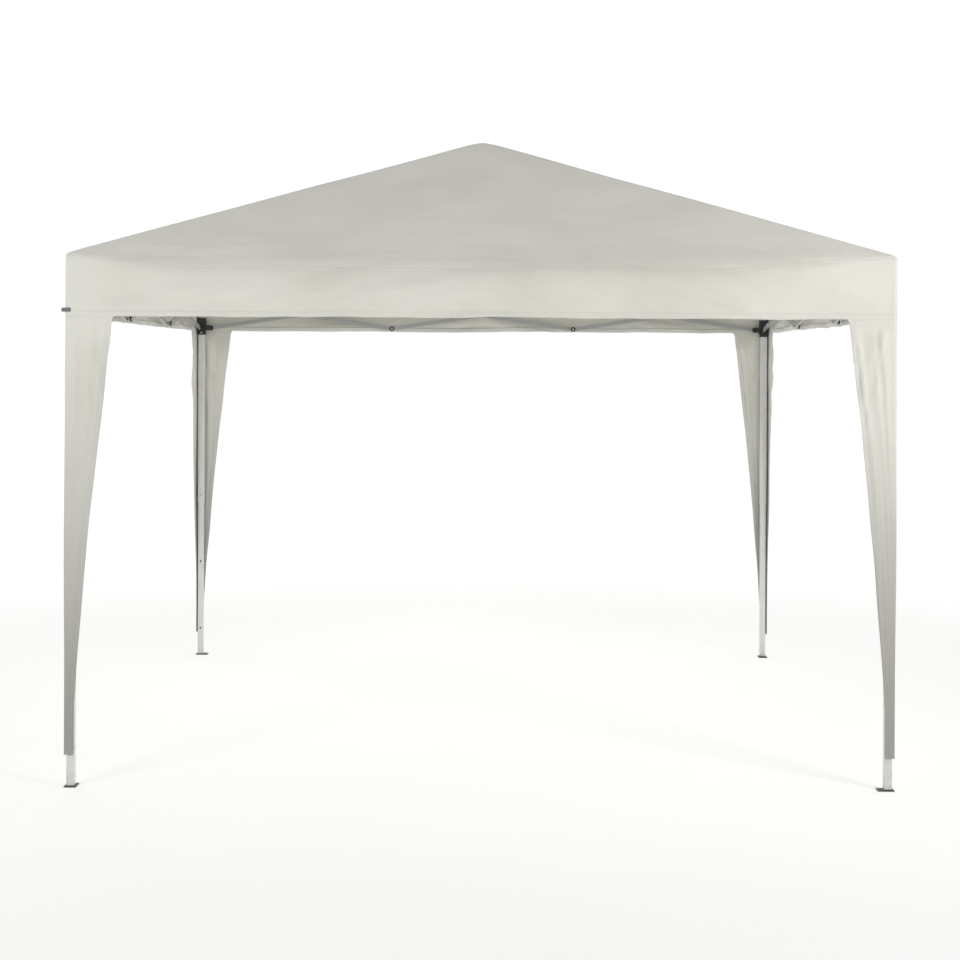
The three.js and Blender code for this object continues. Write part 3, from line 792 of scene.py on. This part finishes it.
def truss_caps():
    """A black cap with a zinc rivet where bars meet end to end, and a rivet where they cross."""
    for side, (start, u) in {
        "front": ((-FIRST, -LEG), (1, 0)),
        "right": ((LEG, -FIRST), (0, 1)),
        "left": ((-LEG, -FIRST), (0, 1)),
        "back": ((-FIRST, LEG), (1, 0)),
    }.items():
        flat = Vector((u[1], u[0], 0))  # across the side, positive outwards or inwards
        line = LEG * (1 if side in ("right", "back") else -1)
        for i in (1, 2, 3):
            for way in ("down", "up"):
                bar = f"truss_{side}_{i}_{way}"
                low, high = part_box(bar)
                across = 1 if u[0] else 0
                mid = (low[across] + high[across]) / 2
                sign = 1 if mid > line else -1
                face = high[across] if sign > 0 else low[across]
                points, faces, picks = [], [], []
                places = [(i - 0.5, (UPPER_Z + LOWER_Z) / 2, False)]
                ends = ((i - 1, way == "down"), (i, way == "up"))
                places += [(n, UPPER_Z if top else LOWER_Z, True) for n, top in ends if 0 < n < 3]
                for n, z, capped in places:
                    at = [start[0] + u[0] * SPAN * n, start[1] + u[1] * SPAN * n, z]
                    at[across] = face - sign * 0.0002
                    axis = flat * sign
                    shapes = ((CAP, 0, 0.0), (RIVET, 1, 0.0015)) if capped else ((RIVET, 1, 0.0),)
                    for profile, pick, rise in shapes:
                        p, f = turned(profile, Vector(at) + axis * rise, axis, Vector((u[0], u[1], 0)))
                        faces += [tuple(x + len(points) for x in face_) for face_ in f]
                        points += p
                        picks += [pick] * len(f)
                new_piece(bar + "_rivets", points, faces, [NYLON, ZINC], bar, picks)


def corner_tab():
    """A folded webbing tab sewn in at the front left corner, just above the hem line."""
    path = [
        (-1.478, -1.5025),
        (-1.486, -1.5030),
        (-1.494, -1.5040),
        (-1.502, -1.5060),
        (-1.5080, -1.5070),
        (-1.5105, -1.5050),
        (-1.5100, -1.5010),
        (-1.5070, -1.4960),
        (-1.5045, -1.4890),
        (-1.5030, -1.4780),
    ]
    points, faces = [], []
    for i, (x, y) in enumerate(path):
        before, after = path[max(i - 1, 0)], path[min(i + 1, len(path) - 1)]
        d = Vector((after[0] - before[0], after[1] - before[1], 0)).normalized()
        n = Vector((d.y, -d.x, 0)) * 0.0007
        for level in (-0.0072, -0.0066, 0.0066, 0.0072):
            thin = 0.5 if abs(level) > 0.007 else 1.0
            for sign in (1, -1):
                points.append(Vector((x, y, 1.7235 + level)) + n * sign * thin)
    loop = [0, 2, 4, 6, 7, 5, 3, 1]
    for i in range(len(path) - 1):
        for a, b in zip(loop, loop[1:] + loop[:1]):
            faces.append((i * 8 + a, i * 8 + b, (i + 1) * 8 + b, (i + 1) * 8 + a))
    faces.append(tuple(loop[::-1]))
    faces.append(tuple((len(path) - 1) * 8 + k for k in loop))
    return new_piece("corner_webbing_tab", points, faces, [WEBBING], "leg_front_left")


# ---------------------------------------------------------------- studio
FLOOR = 60.0  # half its size


def smooth_range(tree, value, *limits):
    """A world node that takes value smoothly from the first two limits to the last two."""
    n = tree.nodes.new("ShaderNodeMapRange")
    n.interpolation_type = "SMOOTHSTEP"
    for key, number in zip(("From Min", "From Max", "To Min", "To Max"), limits):
        n.inputs[key].default_value = number
    tree.links.new(value, n.inputs["Value"])
    return n.outputs[0]


def studio():
    floor = bpy.data.meshes.new("floor")
    corners = [(-FLOOR, -FLOOR, 0), (FLOOR, -FLOOR, 0), (FLOOR, FLOOR, 0), (-FLOOR, FLOOR, 0)]
    floor.from_pydata(corners, [], [(0, 1, 2, 3)])
    s = Shader("studio_floor", Specular_IOR_Level=0.1)
    here = s.place((1, 1, 1))
    mottle = s.noise(here, 1.5, 3.0, 0.5)
    away = s.ramp(s.node("ShaderNodeVectorMath", {0: here}, operation="LENGTH").outputs["Value"], 2.2, 6.5)
    pale = s.mix(mottle, (0.80, 0.80, 0.795, 1), (0.83, 0.83, 0.825, 1))
    s.finish(
        Base_Color=s.mix(away, pale, (0.05, 0.05, 0.05, 1)),
        Roughness=s.ramp(mottle, 0.2, 0.8, 0.85, 0.95),
        Emission_Color=(1.0, 1.0, 0.998, 1),
        Emission_Strength=s.math("ADD", 0.38, s.math("MULTIPLY", away, 0.62)),
    )
    floor.materials.append(s.material)
    ground = bpy.data.objects.new("floor", floor)
    bpy.context.scene.collection.objects.link(ground)
    ground.location.z = -0.0005

    world = bpy.data.worlds.new("studio")
    bpy.context.scene.world = world
    world.use_nodes = True
    tree = world.node_tree
    back = tree.nodes["Background"]
    height = tree.nodes.new("ShaderNodeSeparateXYZ")
    tree.links.new(tree.nodes.new("ShaderNodeTexCoord").outputs["Generated"], height.inputs[0])
    fall = smooth_range(tree, height.outputs[2], 0.24, 0.75, 1.05, 0.76)
    # the studio is dimmer on the front's side
    depth = smooth_range(tree, height.outputs[1], -0.75, 0.35, 0.38, 1.0)
    both = tree.nodes.new("ShaderNodeMath")
    both.operation = "MULTIPLY"
    tree.links.new(fall, both.inputs[0])
    tree.links.new(depth, both.inputs[1])
    # and plain white where it is seen
    seen = tree.nodes.new("ShaderNodeMix")
    seen.data_type = "FLOAT"
    seen.inputs[3].default_value = 1.05
    tree.links.new(tree.nodes.new("ShaderNodeLightPath").outputs["Is Camera Ray"], seen.inputs[0])
    tree.links.new(both.outputs[0], seen.inputs[2])
    tree.links.new(seen.outputs[0], back.inputs["Strength"])
    warm = tree.nodes.new("ShaderNodeMix")
    warm.data_type = "RGBA"
    warm.inputs[6].default_value = (0.965, 0.985, 1.0, 1)
    warm.inputs[7].default_value = (1.0, 0.985, 0.955, 1)
    tree.links.new(height.outputs[2], warm.inputs[0])
    tree.links.new(warm.outputs[2], back.inputs["Color"])

    for name, place, aim, size, power, colour in (
        ("key", (4.2, -5.0, 3.4), (1.35, -1.5, 1.55), 1.6, 15, (1.0, 0.98, 0.95)),
        ("fill", (-3.6, -5.4, 3.4), (-1.45, -1.5, 1.6), 1.6, 9, (1.0, 0.99, 0.97)),
    ):
        data = bpy.data.lights.new(name, "AREA")
        data.energy, data.size, data.color, data.spread = power, size, colour, math.radians(55)
        lamp = bpy.data.objects.new(name, data)
        bpy.context.scene.collection.objects.link(lamp)
        lamp.location = place
        lamp.visible_camera = False
        lamp.rotation_euler = (Vector(aim) - Vector(place)).to_track_quat("-Z", "Y").to_euler()


def camera():
    data = bpy.data.cameras.new("camera")
    data.lens, data.sensor_width = 67.4, 36.0
    data.shift_y = -0.122
    o = bpy.data.objects.new("camera", data)
    bpy.context.scene.collection.objects.link(o)
    o.location = (0.022, -7.975, 1.538)
    o.rotation_euler = (math.pi / 2, -0.0043, 0.0037)
    bpy.context.scene.camera = o


dress_frame()
hang_canopy()
truss_caps()
corner_tab()
studio()
camera()
bpy.context.scene.view_settings.view_transform = "Standard"
